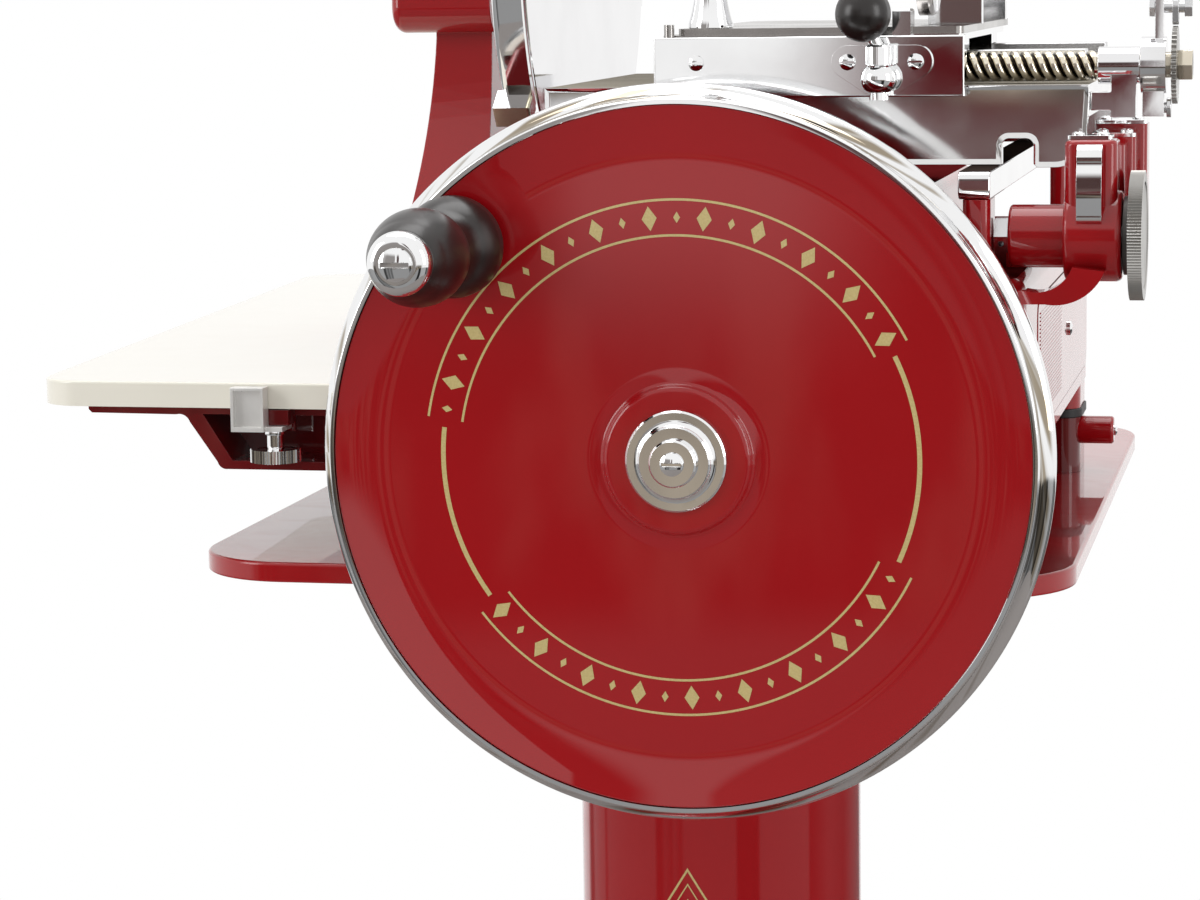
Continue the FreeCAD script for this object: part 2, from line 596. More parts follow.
# The blade is a dished disc, flat and mirror bright towards the meat, bevelled on the slice side.
blade_profile = [
    (0, 14.05),
    (0, BLADE_R - 0.3),
    (-0.5, BLADE_R),
    (-1.2, BLADE_R),
    (-6.5, BLADE_R - 15),
    (-6.5, BLADE_R - 42),
    (-4.5, BLADE_R - 52),
    (-4.5, 40),
    (-9, 34),
    (-9, 14.05),
]
blade = turned(blade_profile, vec(BLADE_FACE_X, BLADE_Y, BLADE_Z), X)
plate_screws = []
for i in range(4):
    turn = math.radians(90 * i + 45)
    at = vec(BLADE_FACE_X, BLADE_Y + 24 * math.cos(turn), BLADE_Z + 24 * math.sin(turn))
    blade = blade.cut(rod(at - X * 20, X, 2.7, 40))
    plate_screws.append(slotted_screw(at + X * 2.6, X, 5.0, 2.4, 2.5, 17))
save("blade", blade)
save("blade_screws", plate_screws)
BLADE_HUB_LEFT_X = BARREL_RIGHT_X + 1.0
HUB_LENGTH = BLADE_FACE_X - 9.1 - BLADE_HUB_LEFT_X
hub = turned([(0, 5), (0, 20), (24, 20), (30, 33), (HUB_LENGTH, 33), (HUB_LENGTH, 5)],
             vec(BLADE_HUB_LEFT_X, BLADE_Y, BLADE_Z), X)
for i in range(4):
    turn = math.radians(90 * i + 45)
    at = vec(BLADE_FACE_X - 25, BLADE_Y + 24 * math.cos(turn), BLADE_Z + 24 * math.sin(turn))
    hub = hub.cut(rod(at, X, 2.55, 20))
nose = turned([(0, 0), (0, 31), (1.2, 31), (2.5, 29.5), (2.5, 13), dome(2.5, 13, 5)],
              vec(BLADE_FACE_X + 0.05, BLADE_Y, BLADE_Z), X)
for i in range(4):
    turn = math.radians(90 * i + 45)
    at = vec(BLADE_FACE_X - 5, BLADE_Y + 24 * math.cos(turn), BLADE_Z + 24 * math.sin(turn))
    nose = nose.cut(rod(at, X, 2.7, 20))
save("blade_clamp", nose)
SHAFT_START_X = BARREL_LEFT_X + 9.5
shaft = rod(vec(SHAFT_START_X, BLADE_Y, BLADE_Z), X, BLADE_SHAFT_R, BLADE_FACE_X - 0.1 - SHAFT_START_X)
save("blade_shaft", joined([shaft, hub]))

# The chromed guard follows the blade's rim on the slice side, from the front foot over the top to the back.
GUARD_IN_R = BLADE_R + 3.0
GUARD_OUT_R = BLADE_R + 8.0
GUARD_LEFT_X = BLADE_FACE_X - 20.0
guard_profile = [
    (GUARD_LEFT_X, BLADE_R - 24),
    (GUARD_LEFT_X, GUARD_OUT_R - 5),
    (GUARD_LEFT_X + 1.5, GUARD_OUT_R - 1.5, GUARD_LEFT_X + 5, GUARD_OUT_R),
    (BLADE_FACE_X - 1.0, GUARD_OUT_R),
    (BLADE_FACE_X - 1.0, GUARD_IN_R),
    (GUARD_LEFT_X + 5, GUARD_IN_R),
    (GUARD_LEFT_X + 3, GUARD_IN_R - 3),
    (GUARD_LEFT_X + 3, BLADE_R - 24),
]
guard_face = Part.Face(outline(guard_profile))
GUARD_START = -36.0
GUARD_END = 196.0
guard_face.Placement = FreeCAD.Placement(vec(0, BLADE_Y, BLADE_Z), FreeCAD.Rotation(X, 180 - GUARD_START))
guard = guard_face.revolve(vec(0, BLADE_Y, BLADE_Z), vec(-1, 0, 0), GUARD_END - GUARD_START)


def guard_point(x, angle, radius):
    """A point by its angle round the blade: 0 is at the front, 90 on top."""
    turn = math.radians(angle)
    return vec(x, BLADE_Y - radius * math.cos(turn), BLADE_Z + radius * math.sin(turn))


# Three arms hold it to the barrel, and a small block closes its front end.
guard_pieces = [guard]
for angle in (18.0, 80.0, 152.0):
    bar = box(0, GUARD_OUT_R - 8 - 40, -9, 9, -5.5, 5.5)
    bar.Placement = FreeCAD.Placement(
        guard_point(GUARD_LEFT_X - 5.4, angle, 40), FreeCAD.Rotation(
            guard_point(0, angle, 1) - guard_point(0, angle, 0), guard_point(0, angle + 90, 1)
            - guard_point(0, angle + 90, 0), X, "XYZ"))
    start = guard_point(BARREL_RIGHT_X + 0.1, angle, 48)
    guard_pieces.append(bar)
    guard_pieces.append(rod(start, X, 9, GUARD_LEFT_X - start.x))
foot_block = box(-7.5, 9, -7, 7, -BLADE_FACE_X + 1, -GUARD_LEFT_X + 2.5)
foot_block = softened(foot_block, 2.0, level_at(-BLADE_FACE_X + 1))
foot_block.Placement = FreeCAD.Placement(
    guard_point(0, GUARD_START + 1, GUARD_OUT_R + 3), FreeCAD.Rotation(
        guard_point(0, GUARD_START, 1) - guard_point(0, GUARD_START, 0), guard_point(0, GUARD_START + 90, 1)
        - guard_point(0, GUARD_START + 90, 0), X, "XYZ"))
SLIDE_X = GUARD_LEFT_X - 11.0
SLIDE_TOP_Z = 1398.0
SLIDE_HALF = 15.0
SLIDE_BOTTOM_Z = BLADE_Z + GUARD_OUT_R - 30
slide = box(SLIDE_X, SLIDE_X + 9, BLADE_Y - SLIDE_HALF, BLADE_Y + SLIDE_HALF, SLIDE_BOTTOM_Z, SLIDE_TOP_Z)
slide_foot = box(SLIDE_X, GUARD_LEFT_X + 4, BLADE_Y - SLIDE_HALF, BLADE_Y + SLIDE_HALF,
                 SLIDE_BOTTOM_Z, BLADE_Z + GUARD_OUT_R - 3)
guard_pieces += [foot_block, slide, slide_foot]
save("blade_guard", joined(guard_pieces))

# The sharpener's head runs up and down on the slide and holds two small stones over the blade's edge.
HEAD_LEFT_X = SLIDE_X + 9.4
HEAD_RIGHT_X = -58.0
HEAD_BOTTOM = 1363.0
HEAD_TOP = 1392.0
head = slab_z(rounded(HEAD_LEFT_X, HEAD_RIGHT_X, BLADE_Y - 24, BLADE_Y + 24, 8), HEAD_BOTTOM, HEAD_TOP)
head = softened(head, 4.0, level_at(HEAD_TOP))
CHEEK = 8.0
cheek_offset = SLIDE_HALF + GAP
cheeks = [box(SLIDE_X - 7, HEAD_LEFT_X + 3, y, y + CHEEK, HEAD_BOTTOM, HEAD_TOP - 4)
          for y in (BLADE_Y - cheek_offset - CHEEK, BLADE_Y + cheek_offset)]
handle = turned([(-2, 0), (-2, 5), (8, 4.2), (9, 9), (12, 12.5, 18, 11.5), dome(18, 11.5, 5)],
                vec(-80, BLADE_Y, HEAD_TOP), Z)
STONE_R = 14.0
STONE_THICKNESS = 8.0
stones = []
for x, lean in ((-94.0, -1), (-73.0, 1)):
    at = vec(x, BLADE_Y + 10 * lean, HEAD_BOTTOM + 1.5)
    stone_space = rod(at - X * 20, X, 16.5, 40)
    head = head.cut(stone_space.common(box(x - 6.5, x + 6.5, -100, 100, 1300, HEAD_TOP - 6)))
    stone = rod(at - X * STONE_THICKNESS / 2, X, STONE_R, STONE_THICKNESS)
    stones.append(joined([stone, rod(at - X * 6, X, 4, 12)]))
save("sharpener_head", joined([head, handle] + cheeks))
save("sharpening_stones", stones)


# ================= flywheel =================
def wheel_point(s):
    """The point on the wheel's axis that lies s behind its front edge."""
    return vec(WHEEL_X, WHEEL_FRONT_Y + s, WHEEL_Z)


# The disc is one red casting: a raised boss, a flat web and a soft fillet up to the rim.
disc_profile = [
    (1.5, SHAFT_R + 0.02),
    (1.5, HUB_BOSS_R - 3),
    (2.3, HUB_BOSS_R - 0.7, FACE_RECESS - 1.5, HUB_BOSS_R + 1.5),
    (FACE_RECESS, HUB_BOSS_R + 7),
    (FACE_RECESS, FACE_R - 24),
    (FACE_RECESS - 1.4, FACE_R - 12, 1.6, FACE_R - 2.5),
    (0.9, FACE_R - 0.2),
    (RIM_DEPTH - 6, FACE_R - 0.2),
    (RIM_DEPTH - 6, FACE_R - 9),
    (FACE_RECESS + WEB_THICKNESS, FACE_R - 18),
    (FACE_RECESS + WEB_THICKNESS, 56),
    (FACE_RECESS + WEB_THICKNESS + 8, 34),
    (RIM_DEPTH, 31),
    (RIM_DEPTH, SHAFT_R + 0.02),
]
disc = turned(disc_profile, wheel_point(0), Y)
HANDLE_X = WHEEL_X + HANDLE_THROW_X
HANDLE_Z = WHEEL_Z + HANDLE_THROW_Z
SPINDLE_R = 6.0

# The chromed rim: a thin bezel, a hollow flare and a round bead.
rim_profile = [
    (0, FACE_R + 0.1),
    (0, BEZEL_R - 1.2),
    (0.3, BEZEL_R - 0.3, 1.2, BEZEL_R),
    (8, BEZEL_R + 1.6, 13.6, WHEEL_R - 1.6),
    (14.2, WHEEL_R - 2.4),
    (14.8, WHEEL_R - 1.6),
    (18.8, WHEEL_R, 22.8, WHEEL_R - 1.6),
    (RIM_DEPTH - 1, WHEEL_R - 3.0),
    (RIM_DEPTH, WHEEL_R - 4.0),
    (RIM_DEPTH, FACE_R + 0.1),
]
save("flywheel_rim", turned(rim_profile, wheel_point(0), Y))
hub_front = wheel_point(1.4)
washer = turned([
    (0, SHAFT_R + 0.1),
    (0, 27.4),
    (2.4, 27.4),
    (3.4, 26.4),
    (3.4, 22.5),
    (4.4, 20.0, 8.0, 18.8),
    (8.0, SHAFT_R - 0.1),
    (11.5, SHAFT_R - 0.1),
    (12.5, SHAFT_R - 1.1),
    (12.5, 4.1),
    (2.8, 4.1),
    (2.8, SHAFT_R + 0.1),
], hub_front, -Y)
save("hub_cap", [washer, slotted_screw(hub_front - Y * 12.6, -Y, 6.3, 3.2, 4.0, 9.0)])
SHAFT_END_Y = CROSS_Y - 24.0
save("flywheel_shaft", rod(hub_front - Y * 2.6, Y, SHAFT_R, SHAFT_END_Y - hub_front.y + 2.6))

# The crank handle turns freely on a spindle that stands out of a pad on the disc.
spindle_start = WHEEL_FRONT_Y + FACE_RECESS + WEB_THICKNESS - 2
spindle_root = vec(HANDLE_X, spindle_start, HANDLE_Z)
spindle_depth = spindle_start - WHEEL_FRONT_Y
spindle = rod(spindle_root, -Y, SPINDLE_R, HANDLE_REACH - 7 + spindle_depth)
pad = rod(spindle_root, -Y, 14, spindle_depth)
save("flywheel_disc", joined([disc, spindle, pad]))


def handle_point(s):
    return vec(HANDLE_X, WHEEL_FRONT_Y - s, HANDLE_Z)


grip_profile = [
    (0.5, SPINDLE_R + RUNNING),
    (0.5, 26),
    (2.0, 27.4),
    (9.0, 27.4),
    (15, 26, 24, 20.8),
    (34, 17.2, 48, 19.6),
    (72, 25.6, 96, 20.9),
    (103, 18.2, 106, 16.6),
    (106, SPINDLE_R + RUNNING),
]
save("crank_handle", turned(grip_profile, handle_point(0), -Y))
cap_profile = [
    (106.3, SPINDLE_R + 5),
    (106.3, 16.7),
    (110, 16.7),
    (114.5, 14.7, HANDLE_REACH - 2.5, 10.2),
    (HANDLE_REACH - 2.5, 0),
    (HANDLE_REACH - 6, 0),
    (HANDLE_REACH - 6, SPINDLE_R + 5),
]
handle_nose = turned(cap_profile, handle_point(0), -Y).cut(rod(handle_point(HANDLE_REACH), Y, 2.05, 8))
save("handle_cap", [handle_nose, slotted_screw(handle_point(HANDLE_REACH - 2.45), -Y, 8.6, 3.0, 2.0, 3.4)])

# ================= drive inside the body =================


def miter_gear(teeth, pitch_r, face, bore_r, hub_r, hub_length, phase):
    """A bevel gear of 45 degrees, with its apex at the origin and its hub out along +X."""
    module = 2 * pitch_r / teeth
    root = module * 1.25 * math.sqrt(0.5)
    tip = module * 0.9 * math.sqrt(0.5)
    scale = 1 - face / (pitch_r * math.sqrt(2))
    back = pitch_r + root
    solids = [turned([
        (back * scale, bore_r),
        (back * scale, (pitch_r - root) * scale),
        (back, pitch_r - root),
        (back + 2, pitch_r - root - 4),
        (back + 2, hub_r),
        (back + hub_length, hub_r),
        (back + hub_length, bore_r),
    ], vec(0, 0, 0), X)]
    half_root = math.pi * module * 0.28
    half_tip = math.pi * module * 0.12
    for i in range(teeth):
        wires = []
        for k in (1.0, scale):
            low_s = (pitch_r + root + 0.4) * k
            low_r = (pitch_r - root - 0.4) * k
            high_s = (pitch_r - tip) * k
            high_r = (pitch_r + tip) * k
            corners = [
                vec(low_s, low_r, -half_root * k),
                vec(low_s, low_r, half_root * k),
                vec(high_s, high_r, half_tip * k),
                vec(high_s, high_r, -half_tip * k),
            ]
            wires.append(Part.makePolygon(corners + corners[:1]))
        tooth = Part.makeLoft(wires, True, True)
        tooth.rotate(vec(0, 0, 0), X, (i + phase) * 360 / teeth)
        solids.append(tooth)
    return solids[0].multiFuse(solids[1:])


GEAR_HUB_R = 19.0
apex = vec(WHEEL_X, CROSS_Y, WHEEL_Z)
wheel_gear = miter_gear(GEAR_TEETH, GEAR_PITCH_R, GEAR_FACE, SHAFT_R + 0.02, GEAR_HUB_R + 2, 12, 0)
wheel_gear.Placement = FreeCAD.Placement(apex, FreeCAD.Rotation(X, -Y))
save("wheel_gear", wheel_gear)
cross_gear = miter_gear(GEAR_TEETH, GEAR_PITCH_R, GEAR_FACE, CROSS_SHAFT_R + 0.02, GEAR_HUB_R, 12, 0.5)
cross_gear.Placement = FreeCAD.Placement(apex, FreeCAD.Rotation(X, -X))
save("cross_gear", cross_gear)

# A rocking lever with its pivot in the sump takes the crank pin's turning and drives the carriage.
PIVOT_TO_CARRIAGE = ROCKER_PIN_Z - ROCKER_PIVOT_Z
PIVOT_TO_SHAFT = WHEEL_Z - ROCKER_PIVOT_Z
HALF_SWING = math.atan(STROKE / 2 / PIVOT_TO_CARRIAGE)
CRANK_THROW = PIVOT_TO_SHAFT * math.sin(HALF_SWING)
PIN_DISTANCE = PIVOT_TO_SHAFT * math.cos(HALF_SWING)
CRANK_THICKNESS = 8.0
crank_pin_y = CROSS_Y - PIN_DISTANCE * math.sin(HALF_SWING)
crank_pin_z = ROCKER_PIVOT_Z + PIN_DISTANCE * math.cos(HALF_SWING)
crank = rod(vec(CRANK_LEFT_X, CROSS_Y, WHEEL_Z), X, CRANK_THROW + 11, CRANK_THICKNESS)
crank_pin = rod(vec(CRANK_LEFT_X + 2, crank_pin_y, crank_pin_z), X, 5, ROCKER_X - 11 - CRANK_LEFT_X)
SHAFT_LEFT_X = SPROCKET_X - 8.0
cross_shaft = rod(vec(SHAFT_LEFT_X, CROSS_Y, WHEEL_Z), X, CROSS_SHAFT_R, CRANK_LEFT_X + 1 - SHAFT_LEFT_X)
save("cross_shaft", joined([cross_shaft, crank, crank_pin]))


def sprocket(teeth, z, bore_r):
    """A chain wheel on the blade's side of the machine."""
    pitch_r = CHAIN_PITCH / 2 / math.sin(math.pi / teeth)
    wheel = toothed_disc(teeth, pitch_r + 2.8, pitch_r - 2.4, vec(SPROCKET_X, BLADE_Y, z), 5)
    hub = rod(vec(SPROCKET_X - 4, BLADE_Y, z), X, bore_r + 4, 9)
    bore = rod(vec(SPROCKET_X - 10, BLADE_Y, z), X, bore_r + 0.02, 30)
    return joined([wheel, hub]).cut(bore), pitch_r + 2.8


large, large_r = sprocket(LARGE_SPROCKET_TEETH, WHEEL_Z, CROSS_SHAFT_R)
small, small_r = sprocket(SMALL_SPROCKET_TEETH, BLADE_Z, BLADE_SHAFT_R)
save("drive_sprocket", large)
save("blade_sprocket", small)


def belt_outline(low_r, high_r):
    """Two arcs and two tangents round the sprockets, in (y, z)."""
    tilt = math.asin((low_r - high_r) / (BLADE_Z - WHEEL_Z))
    c, s = math.cos(tilt), math.sin(tilt)
    return [
        (BLADE_Y - low_r * c, WHEEL_Z + low_r * s),
        (BLADE_Y, WHEEL_Z - low_r, BLADE_Y + low_r * c, WHEEL_Z + low_r * s),
        (BLADE_Y + high_r * c, BLADE_Z + high_r * s),
        (BLADE_Y, BLADE_Z + high_r, BLADE_Y - high_r * c, BLADE_Z + high_r * s),
    ]


CHAIN_THICKNESS = 3.2
CHAIN_GAP = 0.4
outer = slab_x(belt_outline(large_r + CHAIN_GAP + CHAIN_THICKNESS, small_r + CHAIN_GAP + CHAIN_THICKNESS),
               SPROCKET_X - 0.7, SPROCKET_X + 5.7)
inside = slab_x(belt_outline(large_r + CHAIN_GAP, small_r + CHAIN_GAP), SPROCKET_X - 5, SPROCKET_X + 10)
save("drive_chain", outer.cut(inside))

ROCKER_THICKNESS = 10.0
ROCKER_LENGTH = 228.0
FORK_START = PIVOT_TO_CARRIAGE - 9.0
rocker = slab_x([
    (-11, 0),
    (0, -13, 11, 0),
    (13, ROCKER_LENGTH - 62),
    (17, ROCKER_LENGTH - 48),
    (17, ROCKER_LENGTH),
    (-17, ROCKER_LENGTH),
    (-17, ROCKER_LENGTH - 48),
    (-13, ROCKER_LENGTH - 62),
], ROCKER_X - ROCKER_THICKNESS / 2, ROCKER_X + ROCKER_THICKNESS / 2)
FORK_HALF = 10.8
PIN_SLOT_HALF = 5.6
rocker = rocker.cut(box(0, 200, -FORK_HALF, FORK_HALF, FORK_START, ROCKER_LENGTH + 10))
rocker = rocker.cut(box(0, 200, -PIN_SLOT_HALF, PIN_SLOT_HALF, PIVOT_TO_SHAFT - CRANK_THROW - 6,
                        PIVOT_TO_SHAFT + CRANK_THROW + 6))
PIVOT_R = 7.0
rocker = rocker.cut(rod(vec(0, 0, 0), X, PIVOT_R + RUNNING, 200))
rocker.rotate(vec(0, 0, 0), X, math.degrees(HALF_SWING))
rocker.translate(vec(0, CROSS_Y, ROCKER_PIVOT_Z))
save("rocker_lever", rocker)

# The pan closes the body underneath and carries the rocker's pivot.
PAN_TOP_Z = BODY_BOTTOM_Z - 0.2
PAN_FLOOR_Z = 814.0
pan = joined([
    box(BODY_LEFT_X + 2, BODY_RIGHT_X - 2, BODY_FRONT_Y + 66, BODY_BACK_Y - 68, PAN_TOP_Z - 3, PAN_TOP_Z),
    slab_z(rounded(-78, 156, -150, 128, 20), PAN_FLOOR_Z, PAN_TOP_Z),
]).cut(slab_z(rounded(-74, 152, -146, 124, 16), PAN_FLOOR_Z + 4, PAN_TOP_Z + 5))
PIVOT_EAR_X = ROCKER_X + ROCKER_THICKNESS / 2 + 2
ear = box(PIVOT_EAR_X, PIVOT_EAR_X + 14, CROSS_Y - 16, CROSS_Y + 16,
          PAN_FLOOR_Z + 1, ROCKER_PIVOT_Z + 14)
pin_left_x = ROCKER_X - ROCKER_THICKNESS / 2 - 3.2
pivot = rod(vec(pin_left_x, CROSS_Y, ROCKER_PIVOT_Z), X, PIVOT_R, PIVOT_EAR_X + 1 - pin_left_x)
pivot_head = rod(vec(pin_left_x, CROSS_Y, ROCKER_PIVOT_Z), X, PIVOT_R + 3, 2.8)
pan = pan.cut(rod(vec(WHEEL_X, -220, WHEEL_Z), Y, SHAFT_R + 2, 100))
pan = pan.cut(rod(vec(BODY_LEFT_X - 5, CROSS_Y, WHEEL_Z), X, 25, 32))
save("sump_pan", joined([pan, ear, pivot, pivot_head]))

# ================= carriage =================
# One polished casting: a flat deck with a deep apron at each end. The apron's lower edge is rounded,
# and a notch in it leaves room beside the square rail.
CARRIAGE_BACK_Y = CARRIAGE_FRONT_Y + CARRIAGE_LENGTH
deck_bottom = CARRIAGE_TOP_Z - CARRIAGE_PLATE
FOOT_BOTTOM_Z = APRON_BOTTOM_Z - 1.6
NOTCH_LEFT_X = RAIL_RIGHT_X + 0.6
NOTCH_RIGHT_X = 214.0
NOTCH_TOP_Z = 1046.6
apron_outline = [
    (CARRIAGE_LEFT_X, CARRIAGE_TOP_Z),
    (CARRIAGE_LEFT_X, 1058),
    (CARRIAGE_LEFT_X + 10, 1056),
    (84, 1050),
    (118, 1047, 144, APRON_BOTTOM_Z),
    (NOTCH_LEFT_X, APRON_BOTTOM_Z),
    (NOTCH_LEFT_X, NOTCH_TOP_Z - 4),
    (NOTCH_LEFT_X + 1.2, NOTCH_TOP_Z - 1.2, NOTCH_LEFT_X + 4, NOTCH_TOP_Z),
    (NOTCH_RIGHT_X - 4, NOTCH_TOP_Z),
    (NOTCH_RIGHT_X - 1.2, NOTCH_TOP_Z - 1.2, NOTCH_RIGHT_X, NOTCH_TOP_Z - 4),
    (NOTCH_RIGHT_X, FOOT_BOTTOM_Z + 2),
    (NOTCH_RIGHT_X + 2, FOOT_BOTTOM_Z),
    (CARRIAGE_RIGHT_X - 18, FOOT_BOTTOM_Z),
    (CARRIAGE_RIGHT_X - 5, FOOT_BOTTOM_Z + 6, CARRIAGE_RIGHT_X - 1, FOOT_BOTTOM_Z + 20),
    (CARRIAGE_RIGHT_X, CARRIAGE_TOP_Z - 8),
    (CARRIAGE_RIGHT_X, CARRIAGE_TOP_Z),
]
SLEEVE_HALF = 14.0
SLEEVE_LENGTH = 40.0
carriage_pieces = [
    slab_z(rounded(CARRIAGE_LEFT_X, CARRIAGE_RIGHT_X, CARRIAGE_FRONT_Y, CARRIAGE_BACK_Y, 3),
           deck_bottom, CARRIAGE_TOP_Z),
    slab_y(apron_outline, CARRIAGE_FRONT_Y, CARRIAGE_FRONT_Y + APRON_THICKNESS),
    slab_y(apron_outline, CARRIAGE_BACK_Y - APRON_THICKNESS, CARRIAGE_BACK_Y),
    box(CARRIAGE_RIGHT_X - 5, CARRIAGE_RIGHT_X, CARRIAGE_FRONT_Y + 2, CARRIAGE_BACK_Y - 2,
        1058, CARRIAGE_TOP_Z),
]
for y in (CARRIAGE_FRONT_Y + APRON_THICKNESS - 1, CARRIAGE_BACK_Y - APRON_THICKNESS - SLEEVE_LENGTH + 1):
    carriage_pieces.append(box(ROUND_RAIL_X - SLEEVE_HALF, ROUND_RAIL_X + SLEEVE_HALF, y, y + SLEEVE_LENGTH,
                               ROUND_RAIL_Z - SLEEVE_HALF, CARRIAGE_TOP_Z - 1))
DRIVE_PIN_Y = CROSS_Y - STROKE / 2
PIN_LUG_X = ROCKER_X - 20.0
carriage_pieces.append(box(PIN_LUG_X, PIN_LUG_X + 11, DRIVE_PIN_Y - 13, DRIVE_PIN_Y + 13, ROCKER_PIN_Z - 9,
                           CARRIAGE_TOP_Z - 1))
carriage_pieces.append(rod(vec(PIN_LUG_X + 5, DRIVE_PIN_Y, ROCKER_PIN_Z), X, 6.0, 20))
carriage = joined(carriage_pieces)
carriage = carriage.cut(rod(vec(ROUND_RAIL_X, CARRIAGE_FRONT_Y - 5, ROUND_RAIL_Z), Y, ROUND_RAIL_R + RUNNING,
                            CARRIAGE_LENGTH + 10))

# Two straight guides on the deck carry the meat table across it.
GUIDE_LEFT_X = TABLE_LEFT_X + 3.0
GUIDE_TOP_Z = TABLE_TOP_Z - 10.0
GUIDE_YS = (-148.0, 8.0)
GUIDE_WIDTH = 18.0
guides = []
for y in GUIDE_YS:
    guides.append(box(GUIDE_LEFT_X, CARRIAGE_RIGHT_X - 6, y, y + GUIDE_WIDTH,
                      CARRIAGE_TOP_Z + 0.1, GUIDE_TOP_Z))
save("table_guides", guides)

# The cross-feed screw runs in a pillow at its left end and a long sleeve at its right end.
JOURNAL_R = 7.0
PILLOW_X = 10.0
SLEEVE_X = 247.4
SLEEVE_END_X = 270.0
pillow = joined([
    box(PILLOW_X, PILLOW_X + 12, SCREW_Y - 14, SCREW_Y + 14, CARRIAGE_TOP_Z + 0.1, SCREW_Z),
    rod(vec(PILLOW_X, SCREW_Y, SCREW_Z), X, 14, 12),
]).cut(rod(vec(PILLOW_X - 2, SCREW_Y, SCREW_Z), X, JOURNAL_R - 1 + RUNNING, 20))
pillow = pillow.cut(box(PILLOW_X - 5, PILLOW_X + 20, SCREW_Y - 30, SCREW_Y + 30,
                        CARRIAGE_TOP_Z - 20, CARRIAGE_TOP_Z + 0.1))
sleeve = joined([
    rod(vec(SLEEVE_X, SCREW_Y, SCREW_Z), X, 10.2, SLEEVE_END_X - SLEEVE_X),
    box(SLEEVE_X + 7, SLEEVE_END_X - 2, SCREW_Y - 9, SCREW_Y + 9, 1057, SCREW_Z - 2),
    box(CARRIAGE_RIGHT_X + 0.2, SLEEVE_END_X - 2, SCREW_Y - 9, SCREW_Y + 9, 1061, 1071),
]).cut(rod(vec(SLEEVE_X - 2, SCREW_Y, SCREW_Z), X, JOURNAL_R + RUNNING, 40))
save("screw_bearings", [pillow, sleeve])
save("carriage", carriage)
THREAD_LEFT_X = PILLOW_X + 14
THREAD_RIGHT_X = SLEEVE_X - 0.8
SCREW_END_X = 298.0
RATCHET_X = 287.2
nut = hexagon(vec(RATCHET_X + 3, SCREW_Y, SCREW_Z), X, 16, SCREW_END_X - RATCHET_X - 3)
save("lead_screw", joined([
    rod(vec(PILLOW_X - 1, SCREW_Y, SCREW_Z), X, JOURNAL_R - 1, THREAD_LEFT_X - PILLOW_X + 2),
    rod(vec(THREAD_LEFT_X, SCREW_Y, SCREW_Z), X, SCREW_R, THREAD_RIGHT_X - THREAD_LEFT_X),
    rod(vec(THREAD_RIGHT_X - 1, SCREW_Y, SCREW_Z), X, JOURNAL_R, SCREW_END_X - THREAD_RIGHT_X - 3),
    nut,
]))
ratchet = toothed_disc(40, 21.0, 19.6, vec(RATCHET_X, SCREW_Y, SCREW_Z), 2.8)
save("ratchet_wheel", ratchet.cut(rod(vec(RATCHET_X - 5, SCREW_Y, SCREW_Z), X, JOURNAL_R + 0.02, 20)))

# The feed arm rocks on the screw's journal. Its roller meets the adjuster, and its pawl turns the ratchet.
ARM_LEFT_X = SLEEVE_END_X + 0.5
ARM_WIDTH = 13.5
arm = joined([
    rod(vec(ARM_LEFT_X, SCREW_Y, SCREW_Z), X, 15.5, ARM_WIDTH),
    box(ARM_LEFT_X + 1, ARM_LEFT_X + ARM_WIDTH - 1, SCREW_Y - 7, SCREW_Y + 7,
        SCREW_Z - 27.5, SCREW_Z - 5),
    box(ARM_LEFT_X + 7.5, ARM_LEFT_X + ARM_WIDTH - 1.5, SCREW_Y - 6, SCREW_Y + 6,
        SCREW_Z + 5, SCREW_Z + 58),
])
arm = arm.cut(rod(vec(ARM_LEFT_X - 2, SCREW_Y, SCREW_Z), X, JOURNAL_R + RUNNING, 30))
ROLLER_Z = 1062.0
PAWL_Z = SCREW_Z + 31.0
arm = arm.cut(rod(vec(ARM_LEFT_X - 2, SCREW_Y, ROLLER_Z), X, 3.05, 30))
arm = arm.cut(rod(vec(ARM_LEFT_X - 2, SCREW_Y, PAWL_Z), X, 3.05, 30))
save("feed_arm", arm)
roller = joined([
    rod(vec(ARM_LEFT_X + 2, SCREW_Y, ROLLER_Z), X, 3.0, ARM_WIDTH),
    rod(vec(ARM_LEFT_X + ARM_WIDTH + 0.2, SCREW_Y, ROLLER_Z), X, 5.4, 2.4),
])
pawl_bolt = joined([
    rod(vec(ARM_LEFT_X + 5, SCREW_Y, PAWL_Z), X, 3.0, 20),
    hexagon(vec(ARM_LEFT_X + 4.2, SCREW_Y, PAWL_Z), X, 10, 3),
    hexagon(vec(ARM_LEFT_X + 23, SCREW_Y, PAWL_Z), X, 10, 4),
])
pawl = slab_x([
    (SCREW_Y - 6, PAWL_Z),
    (SCREW_Y, PAWL_Z + 6, SCREW_Y + 6, PAWL_Z),
    (SCREW_Y + 5, SCREW_Z + 24.5),
    (SCREW_Y - 1, SCREW_Z + 21.6),
    (SCREW_Y - 5, SCREW_Z + 23),
], RATCHET_X - 0.2, RATCHET_X + 3.2)
save("feed_pawl", [pawl.cut(rod(vec(RATCHET_X - 5, SCREW_Y, PAWL_Z), X, 3.05, 20)), pawl_bolt, roller])

